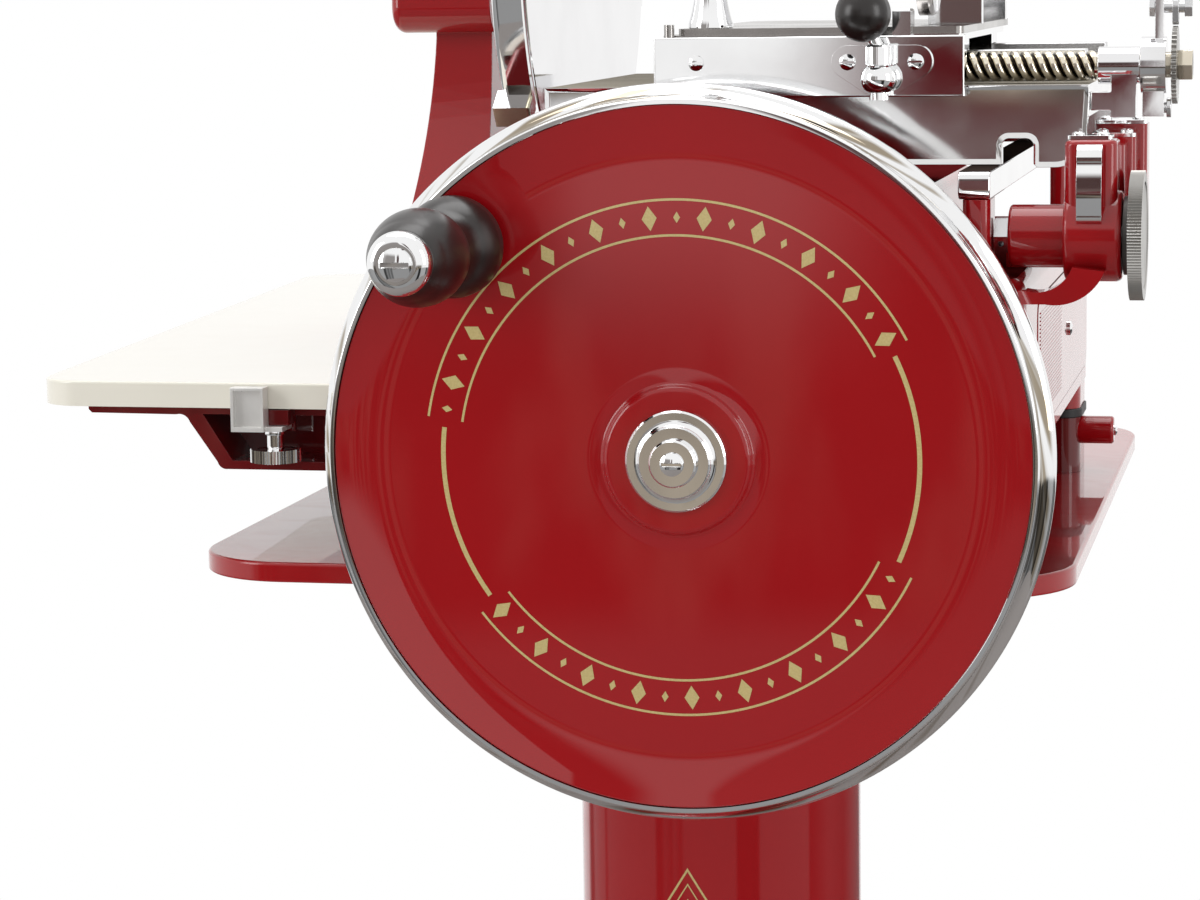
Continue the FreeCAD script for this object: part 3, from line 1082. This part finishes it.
# ================= meat table =================
front_bar = box(TABLE_LEFT_X, TABLE_RIGHT_X, BAR_FRONT_Y, BAR_FRONT_Y + BAR_THICKNESS,
                TABLE_BAR_BOTTOM_Z, TABLE_TOP_Z)
front_bar = softened(front_bar, 1.0, lambda edge: abs(edge.BoundBox.YMax - BAR_FRONT_Y) < 1e-3)
under_plate = box(TABLE_LEFT_X + 4, TABLE_RIGHT_X - 4, BAR_FRONT_Y + BAR_THICKNESS - 1, TABLE_BACK_Y - 6,
                  TABLE_TOP_Z - UNDER_PLATE, TABLE_TOP_Z + 1)
table_plate = slab_z(rounded(PLATE_LEFT_X, PLATE_RIGHT_X, BAR_FRONT_Y + 9, TABLE_BACK_Y, 4),
                     TABLE_TOP_Z + 0.6, TABLE_TOP_Z + TABLE_PLATE)
stop_pin = rod(vec(PLATE_LEFT_X - 4, BAR_FRONT_Y + 5.5, TABLE_TOP_Z - 2), Z, 2.8, 9)
catch = box(LEVER_X + 5, LEVER_X + 15, BAR_FRONT_Y + 3, BAR_FRONT_Y + 20, TABLE_TOP_Z - 1, TABLE_TOP_Z + 14.5)
catch = softened(catch, 2.0, level_at(TABLE_TOP_Z + 14.5))
table_pieces = [front_bar, under_plate, table_plate, stop_pin, catch]
for y in GUIDE_YS:
    shoe = box(TABLE_LEFT_X + 8, TABLE_RIGHT_X - 8, y - 7, y + GUIDE_WIDTH + 7,
               CARRIAGE_TOP_Z + 3, TABLE_TOP_Z + 1)
    table_pieces.append(shoe.cut(box(-200, 400, y - GAP, y + GUIDE_WIDTH + GAP, 1000, GUIDE_TOP_Z + GAP)))
table_pieces.append(box(LEVER_X - 16, LEVER_X + 16, SCREW_Y - 16, SCREW_Y + 13, SCREW_Z + 0.3, TABLE_TOP_Z)
                    .cut(rod(vec(0, SCREW_Y, SCREW_Z), X, SCREW_R + RUNNING, 300)))
table = joined(table_pieces)
BRACKET_SCREW_XS = (LEVER_X - 18.5, LEVER_X + 18.5)
BRACKET_SCREW_Z = 1089.0
BAR_SCREW_X = 31.0
for x in BRACKET_SCREW_XS + (BAR_SCREW_X,):
    table = table.cut(rod(vec(x, BAR_FRONT_Y - 5, BRACKET_SCREW_Z), Y, 2.6, 13))
save("meat_table", table)
PLATE_THICKNESS = 3.4
EAR_R = 9.0
bracket = slab_y([
    (LEVER_X - 9, LEVER_PIVOT_Z - 8),
    (LEVER_X, LEVER_PIVOT_Z - 9.4, LEVER_X + 9, LEVER_PIVOT_Z - 8),
    (BRACKET_SCREW_XS[1] + EAR_R - 3, BRACKET_SCREW_Z - 6.5),
    (BRACKET_SCREW_XS[1] + EAR_R, BRACKET_SCREW_Z, BRACKET_SCREW_XS[1], BRACKET_SCREW_Z + EAR_R),
    (BRACKET_SCREW_XS[0], BRACKET_SCREW_Z + EAR_R),
    (BRACKET_SCREW_XS[0] - EAR_R, BRACKET_SCREW_Z, BRACKET_SCREW_XS[0] - EAR_R + 3, BRACKET_SCREW_Z - 6.5),
], BAR_FRONT_Y - 0.1 - PLATE_THICKNESS, BAR_FRONT_Y - 0.1)
pivot_boss = rod(vec(LEVER_X, BAR_FRONT_Y - 0.1, LEVER_PIVOT_Z), -Y, 5.2, 5.0)
bracket = joined([bracket, pivot_boss])
screws = []
for x in BRACKET_SCREW_XS:
    bracket = bracket.cut(rod(vec(x, BAR_FRONT_Y - 10, BRACKET_SCREW_Z), Y, 2.6, 20))
    seat = vec(x, BAR_FRONT_Y - 0.2 - PLATE_THICKNESS, BRACKET_SCREW_Z)
    screws.append(slotted_screw(seat, -Y, 4.4, 2.4, 2.5, 10))
bar_screw_seat = vec(BAR_SCREW_X, BAR_FRONT_Y - 0.05, BRACKET_SCREW_Z)
screws.append(slotted_screw(bar_screw_seat, -Y, 4.2, 2.4, 2.5, 7))
save("table_screws", screws)
save("lever_bracket", bracket)

# The nut lever: a turned spindle with a bulb, on a short pivot, and a dark ball knob on its leaning stem.
spindle_profile = [
    (-11, 0),
    (-11, 5.2),
    (-7, 5.2),
    (-6, 7.4),
    (0, 10.0, 6.5, 7.4),
    (7.5, 6.4),
    (8, 7.5),
    (17.5, 7.5),
    (18.5, 6.5),
    (18.5, 0),
]
KNOB_X = 125.5
KNOB_Y = -237.0
KNOB_Z = 1115.0
stem_start = vec(LEVER_X, LEVER_Y, LEVER_PIVOT_Z + 15)
stem_line = vec(KNOB_X, KNOB_Y, KNOB_Z) - stem_start
stem = rod(stem_start, stem_line, 3.6, stem_line.Length - KNOB_R + 4)
lever = joined([turned(spindle_profile, vec(LEVER_X, LEVER_Y, LEVER_PIVOT_Z), Z), stem])
save("nut_lever", lever.cut(rod(vec(LEVER_X, BAR_FRONT_Y, LEVER_PIVOT_Z), -Y, 5.2 + RUNNING, 5.6)))
knob = Part.makeSphere(KNOB_R, vec(KNOB_X, KNOB_Y, KNOB_Z))
save("lever_knob", knob.cut(rod(stem_start, stem_line, 3.65, stem_line.Length - KNOB_R + 4.2)))

# The meat is held between a toothed backrest and a press that slides down a post.
TABLE_FACE_Z = TABLE_TOP_Z + TABLE_PLATE
REST_X = 146.0
backrest = slab_x(rounded(-176, 18, TABLE_FACE_Z + 5, TABLE_FACE_Z + 118, 22), REST_X, REST_X + 9)
backrest = softened(backrest, 3.0, lambda edge: edge.BoundBox.XMin > REST_X + 8.99)
ribs = []
for y in (-150.0, -16.0):
    rib = box(REST_X + 4, REST_X + 34, y, y + 9, TABLE_FACE_Z + 0.1, TABLE_FACE_Z + 80)
    ribs.append(softened(rib, 14, lambda edge: edge.BoundBox.XMin > REST_X + 33.9
                         and edge.BoundBox.ZMin > TABLE_FACE_Z + 79))
spikes = []
for row in range(4):
    for column in range(6):
        at = vec(REST_X + 1, -150 + 29 * column, TABLE_FACE_Z + 24 + 24 * row)
        spikes.append(Part.makeCone(3.2, 0.6, 9, at, -X))
save("meat_backrest", joined([backrest] + ribs + spikes))
POST_X = 35.0
POST_Y = -196.0
POST_TOP_Z = 1318.0
post = turned([
    (0.1, 0),
    (0.1, 12.4),
    (2.5, 12.4),
    (9, 10.6, 24, 8.2),
    (30, 8.0),
    (POST_TOP_Z - TABLE_FACE_Z - 4, 8.0),
    dome(POST_TOP_Z - TABLE_FACE_Z - 4, 8.0, 4),
], vec(POST_X, POST_Y, TABLE_FACE_Z), Z)
save("press_post", post)
PRESS_Z = 1262.0
collar = rod(vec(POST_X, POST_Y, PRESS_Z - 17), Z, 15.5, 34)
press_arm = slab_z([
    (POST_X - 10, POST_Y),
    (POST_X + 10, POST_Y),
    (POST_X + 24, -100),
    (POST_X + 58, -92, POST_X + 62, -60),
    (POST_X + 50, -40),
    (POST_X + 24, -44),
    (POST_X - 6, -72, POST_X - 8, -100),
], PRESS_Z - 6, PRESS_Z + 6)
press_arm = joined([collar, press_arm, rod(vec(POST_X + 44, -62, PRESS_Z - 34), Z, 11, 34)])
press_arm = press_arm.cut(rod(vec(POST_X, POST_Y, 1000), Z, 8.0 + RUNNING, 500))
press_arm = press_arm.cut(rod(vec(POST_X, POST_Y - 5, PRESS_Z), -Y, 3.02, 20))
foot_plate = slab_z(rounded(POST_X - 2, POST_X + 92, -112, -12, 16), PRESS_Z - 42, PRESS_Z - 34)
teeth = []
for row in range(4):
    for column in range(4):
        at = vec(POST_X + 12 + 22 * row, -96 + 22 * column, PRESS_Z - 41)
        teeth.append(Part.makeCone(3.4, 0.6, 9, at, -Z))
save("press_arm", joined([press_arm, foot_plate] + teeth))
knob_profile = [(0, 0), (0, 3.0), (12.5, 3.0), (12.5, 7), (15, 7), (16, 11), (24, 11), (26, 9), (26, 0)]
save("press_knob", turned(knob_profile, vec(POST_X, POST_Y - 8.3, PRESS_Z), -Y))

# ================= thickness adjuster =================
neck = rod(vec(NECK_LEFT_X, ADJUSTER_Y, ADJUSTER_Z), X, NECK_R, POT_LEFT_X - NECK_LEFT_X + 2)
neck = softened(neck, 2.0, lambda edge: abs(edge.BoundBox.XMax - NECK_LEFT_X) < 1e-3)
pot = rod(vec(POT_LEFT_X, ADJUSTER_Y, ADJUSTER_Z), X, POT_R, POT_RIGHT_X - POT_LEFT_X)
pot = softened(pot, 3.0, lambda edge: edge.BoundBox.XLength < 1e-3)
TOWER_RIGHT_X = 262.3
tower = slab_z(rounded(POT_LEFT_X + 0.5, TOWER_RIGHT_X, ADJUSTER_Y - 18, ADJUSTER_Y + 14, 6),
               ADJUSTER_Z, TOWER_TOP_Z)
tower = softened(tower, 3.0, level_at(TOWER_TOP_Z))
HOUSING_LEFT_X = CARRIAGE_RIGHT_X + 1.0
HOUSING_RIGHT_X = 268.5
HOUSING_FRONT_Y = -201.0
HOUSING_BOTTOM_Z = 986.0
HOUSING_TOP_Z = TOWER_TOP_Z - 1.2
REAR_TOWER_RIGHT_X = 273.0
REAR_TOWER_Y = -172.0
REAR_TOWER_BACK_Y = -146.0
REAR_TOWER_TOP_Z = TOWER_TOP_Z + 4.5
LINK_RIGHT_X = 264.4
LINK_TOP_Z = TOWER_TOP_Z - 4.0
housing = slab_z(rounded(HOUSING_LEFT_X, HOUSING_RIGHT_X, HOUSING_FRONT_Y, REAR_TOWER_Y + 6, 4),
                 HOUSING_BOTTOM_Z, HOUSING_TOP_Z)
rear_tower = slab_z(rounded(HOUSING_LEFT_X, REAR_TOWER_RIGHT_X, REAR_TOWER_Y, REAR_TOWER_BACK_Y, 4),
                    HOUSING_BOTTOM_Z, REAR_TOWER_TOP_Z)
housing_link = slab_z(rounded(HOUSING_LEFT_X, LINK_RIGHT_X, ADJUSTER_Y + 6, HOUSING_FRONT_Y + 8, 4),
                      HOUSING_BOTTOM_Z, LINK_TOP_Z)
WEB_LEFT_X = 198.0
web = box(WEB_LEFT_X, HOUSING_LEFT_X + 4, HOUSING_FRONT_Y + 9, REAR_TOWER_BACK_Y - 8,
          SHOULDER_Z + 0.2, HOUSING_BOTTOM_Z + 7)
ARM_BOTTOM_Z = 962.5
ARM_TOP_Z = 969.5
brace = slab_y([
    (190, ARM_BOTTOM_Z),
    (226, ARM_BOTTOM_Z),
    (246, ARM_BOTTOM_Z + 4, 257, 980),
    (240, 982),
    (232, ARM_TOP_Z + 2.5, 216, ARM_TOP_Z),
    (190, ARM_TOP_Z),
], BODY_FRONT_Y - 8, BODY_FRONT_Y + 10)
brace = brace.cut(box(100, BODY_RIGHT_X + 1, BODY_FRONT_Y - 0.3, 0, 900, 1100))
adjuster = joined([neck, pot, tower, housing, rear_tower, housing_link, web, brace])
SPINDLE_BORE = 6.0
adjuster = adjuster.cut(rod(vec(NECK_LEFT_X - 5, ADJUSTER_Y, ADJUSTER_Z), X, SPINDLE_BORE + RUNNING, 80))
CAP_STRIP = 2.2
CAP_SCREW_R = 3.4
CAP_SCREW_INSET = 5.4
caps = []
cap_screws = []
for x0, x1, y0, y1, z in (
        (POT_LEFT_X + 1.5, TOWER_RIGHT_X - 3, ADJUSTER_Y - 12, ADJUSTER_Y + 5, TOWER_TOP_Z),
        (HOUSING_LEFT_X, HOUSING_RIGHT_X, HOUSING_FRONT_Y + 1, HOUSING_FRONT_Y + 23, HOUSING_TOP_Z),
        (HOUSING_LEFT_X, REAR_TOWER_RIGHT_X, REAR_TOWER_Y + 1, REAR_TOWER_BACK_Y - 1, REAR_TOWER_TOP_Z)):
    strip = slab_z(rounded(x0, x1, y0, y1, 2), z + 0.05, z + CAP_STRIP)
    for x in (x0 + CAP_SCREW_INSET, x1 - CAP_SCREW_INSET):
        at = vec(x, (y0 + y1) / 2, z + CAP_STRIP + 0.05)
        strip = strip.cut(rod(at - Z * 6, Z, 1.7, 10))
        adjuster = adjuster.cut(rod(at - Z * 12, Z, 1.7, 12))
        cap_screws.append(slotted_screw(at, Z, CAP_SCREW_R, 2.0, 1.6, 9))
    caps.append(strip)
save("housing_screws", set_screws + panel_screws + cap_screws)
save("adjuster_housing", adjuster)
LEAF_LEFT_X = 241.6
LEAF_RIGHT_X = 254.8
leaf_y = ADJUSTER_Y - 18
leaf = slab_x([
    (leaf_y - 0.2, TOWER_TOP_Z - 2),
    (leaf_y - 5, TOWER_TOP_Z - 4, leaf_y - 7.6, TOWER_TOP_Z - 12),
    (leaf_y - 10.2, 1021, leaf_y - 8.6, 1009),
    (leaf_y - 7.4, 1005.6, leaf_y - 5.4, 1005.0),
    (leaf_y - 5.4, 1007.0),
    (leaf_y - 6.4, 1007.6, leaf_y - 6.8, 1010),
    (leaf_y - 8.2, 1021.5, leaf_y - 5.6, TOWER_TOP_Z - 12.5),
    (leaf_y - 3.6, TOWER_TOP_Z - 7, leaf_y - 0.2, TOWER_TOP_Z - 5.5),
], LEAF_LEFT_X, LEAF_RIGHT_X)
save("adjuster_caps", caps + [leaf])
# A hub on the dial's back keeps it clear of the pot.
DIAL_X = POT_RIGHT_X + 4.9
DIAL_HUB_R = 21.0
dial_hub = rod(vec(POT_RIGHT_X + 0.6, ADJUSTER_Y, ADJUSTER_Z), X, DIAL_HUB_R, DIAL_X - POT_RIGHT_X)
dial = joined([
    toothed_disc(90, DIAL_R, DIAL_R - 0.8, vec(DIAL_X, ADJUSTER_Y, ADJUSTER_Z), DIAL_THICKNESS),
    dial_hub,
])
dial = dial.cut(rod(vec(POT_RIGHT_X - 5, ADJUSTER_Y, ADJUSTER_Z), X, SPINDLE_BORE + 0.02, 30))
save("thickness_dial", dial)
SPINDLE_NUT_X = NECK_LEFT_X - 7.8
save("dial_spindle", joined([
    rod(vec(SPINDLE_NUT_X + 1, ADJUSTER_Y, ADJUSTER_Z), X, SPINDLE_BORE,
        DIAL_X + DIAL_THICKNESS - SPINDLE_NUT_X - 1),
    hexagon(vec(SPINDLE_NUT_X, ADJUSTER_Y, ADJUSTER_Z), X, 18, 7.2).cut(
        rod(vec(SPINDLE_NUT_X + 3.8, ADJUSTER_Y - 20, ADJUSTER_Z - 4), Y, 1.6, 40)),
]))

# ================= slice tray =================
# The tray bracket is an open channel with a broad flange on top, bolted to the body and the upright.
BRACKET_TOP_Z = TRAY_TOP_Z - TRAY_THICKNESS - 0.3
bracket_outer = [
    (-324, BRACKET_TOP_Z),
    (BODY_LEFT_X - 2.4, BRACKET_TOP_Z),
    (BODY_LEFT_X - 2.4, 861.5),
    (-241, 861.5),
    (-245, 862.5, -247, 865.5),
    (-263, 888.4),
    (-266, 892, -271, 892.6),
    (-322, 893),
    (-324, 895),
]
bracket_inner = [
    (-255, 893),
    (BODY_LEFT_X + 5, 893),
    (BODY_LEFT_X + 5, 866.5),
    (-238, 866.5),
]
BRACKET_FRONT_Y = TRAY_FRONT_Y + 12
BRACKET_BACK_Y = 300.0
channel = slab_y(bracket_outer, BRACKET_FRONT_Y, BRACKET_BACK_Y).cut(
    slab_y(bracket_inner, BRACKET_FRONT_Y - 5, BRACKET_BACK_Y + 5))
channel_webs = []
for y in (BRACKET_FRONT_Y + 36, -74.0, 128.0, BRACKET_BACK_Y - 8):
    channel_webs.append(slab_y(bracket_outer, y, y + 6).cut(box(-400, -267, y - 1, y + 7, 800, 1000)))
NOTCH = box(UPRIGHT_FOOT_LEFT_X - 3, BODY_LEFT_X + 5, BLADE_Y - 88, BLADE_Y + 88, 840, 940)
tray_bracket = joined([channel] + channel_webs).cut(NOTCH)
flare_x = TRAY_LEFT_X - TRAY_FLARE
tray = slab_z([
    (TRAY_LEFT_X + 26, TRAY_FRONT_Y),
    (TRAY_RIGHT_X, TRAY_FRONT_Y),
    (TRAY_RIGHT_X, BLADE_Y - 90),
    (UPRIGHT_FOOT_LEFT_X - 5, BLADE_Y - 90),
    (UPRIGHT_FOOT_LEFT_X - 5, BLADE_Y + 90),
    (TRAY_RIGHT_X, BLADE_Y + 90),
    (TRAY_RIGHT_X, TRAY_BACK_Y),
    (flare_x + 34, TRAY_BACK_Y),
    (flare_x + 10, TRAY_BACK_Y - 10, flare_x, TRAY_BACK_Y - 34),
    (TRAY_LEFT_X - 1, TRAY_FRONT_Y + 26),
    (TRAY_LEFT_X + 7.4, TRAY_FRONT_Y + 7.4, TRAY_LEFT_X + 26, TRAY_FRONT_Y),
], TRAY_TOP_Z - TRAY_THICKNESS, TRAY_TOP_Z)
save("slice_tray", softened(tray, 1.6, lambda edge: level_at(TRAY_TOP_Z)(edge)
                            and edge.BoundBox.YMin < TRAY_FRONT_Y + 40))

# A clip covers the tray's front edge. Its foot is held by a thumbscrew to a lug on the bracket's flange.
CLIP_LEFT_X = -231.0
CLIP_RIGHT_X = -211.7
CLIP_FRONT_Y = -256.0
CLIP_TOP_Z = 911.0
CLIP_BOTTOM_Z = 886.0
CLIP_FOOT = 2.6
TRAY_SCREW_X = -209.8
TRAY_SCREW_Y = -241.0
TRAY_SCREW_R = 3.0
LUG_LEFT_X = -218.0
LUG_RIGHT_X = -200.2
lug = joined([
    box(LUG_LEFT_X, LUG_RIGHT_X, TRAY_SCREW_Y - 5.2, BRACKET_FRONT_Y + 4, CLIP_BOTTOM_Z + CLIP_FOOT + 0.2,
        BRACKET_TOP_Z - 0.4),
    box(LUG_LEFT_X, LUG_RIGHT_X, BRACKET_FRONT_Y + 0.3, BRACKET_FRONT_Y + 4, 884, BRACKET_TOP_Z - 1),
])
screw_way = rod(vec(TRAY_SCREW_X, TRAY_SCREW_Y, CLIP_BOTTOM_Z - 5), Z, TRAY_SCREW_R + RUNNING, 30)
save("tray_bracket", joined([tray_bracket, lug]).cut(screw_way))
clip = joined([
    box(CLIP_LEFT_X, CLIP_RIGHT_X, CLIP_FRONT_Y, TRAY_FRONT_Y - 0.5, CLIP_BOTTOM_Z, CLIP_TOP_Z).cut(
        box(CLIP_LEFT_X + 1.6, CLIP_RIGHT_X - 1.6, CLIP_FRONT_Y - 1, CLIP_FRONT_Y + 4,
            CLIP_BOTTOM_Z + CLIP_FOOT, CLIP_TOP_Z - 1.6)),
    box(CLIP_LEFT_X, TRAY_SCREW_X + 8, CLIP_FRONT_Y + 3, BRACKET_FRONT_Y - 1, CLIP_BOTTOM_Z,
        CLIP_BOTTOM_Z + CLIP_FOOT),
])
save("tray_clip", clip.cut(screw_way))
thumb_profile = [
    (867.6, 0),
    (867.6, 13.4),
    (868.6, 14.4),
    (874.0, 14.4),
    (875.0, 13.4),
    (875.0, 5.2),
    (CLIP_BOTTOM_Z - 3.0, 5.2),
    (CLIP_BOTTOM_Z - 3.0, 6.4),
    (CLIP_BOTTOM_Z - 0.4, 6.4),
    (CLIP_BOTTOM_Z - 0.4, TRAY_SCREW_R),
    (BRACKET_TOP_Z - 1, TRAY_SCREW_R),
    (BRACKET_TOP_Z - 1, 0),
]
save("tray_screw", turned(thumb_profile, vec(TRAY_SCREW_X, TRAY_SCREW_Y, 0), Z))

for row in made:
    print(row)
